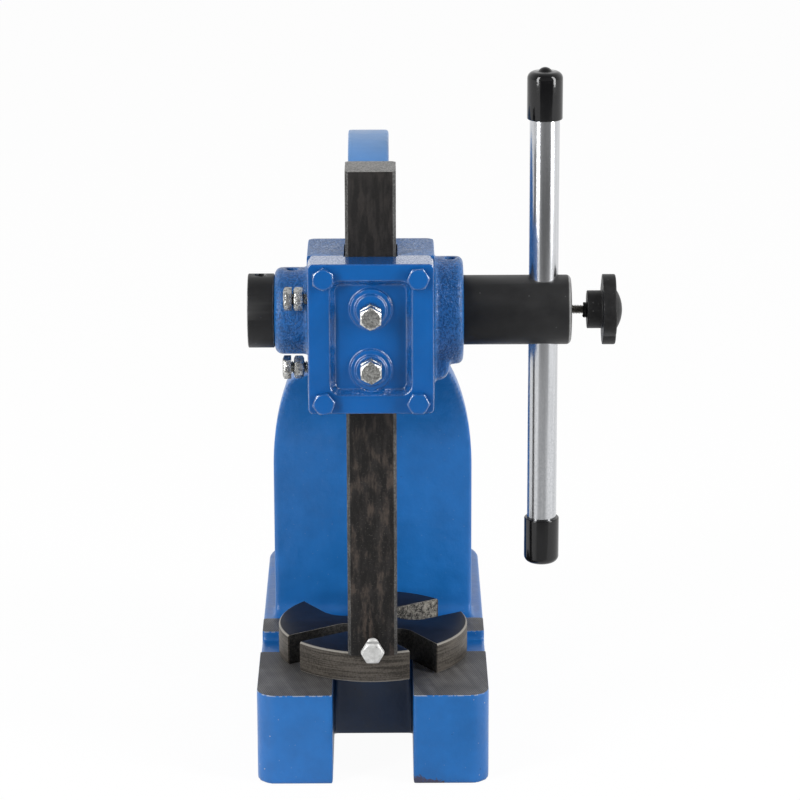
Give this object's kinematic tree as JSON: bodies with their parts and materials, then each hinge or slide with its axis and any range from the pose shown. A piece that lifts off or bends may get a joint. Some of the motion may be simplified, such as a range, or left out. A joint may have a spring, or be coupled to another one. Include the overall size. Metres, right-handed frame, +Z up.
{
  "type": "bench arbor press",
  "caption": "Bench arbor press: iron C-frame with a square rack ram, pinion shaft with sliding lever and clamp knob, adjustable guides and a loose slotted anvil plate.",
  "frame": {"origin": "centre of the base's underside, on the rib across the hollow", "axes": "+Z up along the ram, -Y towards the front with the cover plate, +X towards the lever"},
  "size_m": [0.2389, 0.3432, 0.4565],
  "materials": {
    "blue_paint": "gloss blue enamel over rough cast iron",
    "machined_iron": "turned and ground, dark",
    "black_oxide": "black oxide, satin",
    "plain_steel": "plain machined",
    "polished_steel": "polished",
    "zinc": "zinc plated",
    "black_vinyl": "glossy dipped vinyl",
    "black_plastic": "moulded, fine grain"
  },
  "bodies": {
    "frame": {"frame_casting": "blue_paint", "cover_plate": "blue_paint", "cover_bolts": "blue_paint", "front_gib": "plain_steel", "side_gib": "plain_steel", "front_screw_upper": "zinc", "front_screw_lower": "zinc", "front_nut_upper": "zinc", "front_nut_lower": "zinc", "side_screw_upper": "zinc", "side_screw_lower": "zinc", "side_nut_upper": "zinc", "side_nut_lower": "zinc"},
    "ram": {"ram": "black_oxide"},
    "clamp_bolt": {"tool_clamp_bolt": "zinc"},
    "pinion": {"pinion_shaft": "black_oxide", "shaft_collar": "black_oxide", "collar_set_screw": "black_oxide"},
    "lever": {"lever_bar": "polished_steel", "upper_grip_cap": "black_vinyl", "lower_grip_cap": "black_vinyl"},
    "stud": {"clamp_stud": "plain_steel"},
    "knob": {"clamp_knob": "black_plastic"},
    "anvil": {"anvil_plate": "machined_iron"}
  },
  "joints": [
    {"name": "pinion_turn", "type": "hinge", "parent": "frame", "child": "pinion", "pos_m": [0, -0.09964, 0.2995], "axis": [-1, 0, 0], "range_deg": [0, 572]},
    {"name": "ram_slide", "type": "slide", "parent": "frame", "child": "ram", "axis": [0, 0, 1], "range_m": [0, 0.15]},
    {"name": "clamp_bolt_turn", "type": "hinge", "parent": "ram", "child": "clamp_bolt", "pos_m": [0, -0.1588, 0.0895], "axis": [0, -1, 0], "range_deg": [0, 1080]},
    {"name": "lever_slide", "type": "slide", "parent": "pinion", "child": "lever", "axis": [0, 0, 1], "range_m": [-0.101, 0.116]},
    {"name": "stud_travel", "type": "slide", "parent": "pinion", "child": "stud", "axis": [1, 0, 0], "range_m": [0, 0.003]},
    {"name": "knob_turn", "type": "hinge", "parent": "stud", "child": "knob", "pos_m": [0.1378, -0.09964, 0.2995], "axis": [1, 0, 0], "range_deg": [0, 1080]},
    {"name": "plate_turn", "type": "hinge", "parent": "frame", "child": "anvil", "pos_m": [0, -0.0768, 0.0608], "axis": [0, 0, 1], "continuous": true}
  ],
  "couplings": [
    {"joint": "ram_slide", "follows": "pinion_turn", "m_per_rad": 0.015},
    {"joint": "stud_travel", "follows": "knob_turn", "m_per_rad": 0.00015915}
  ]
}
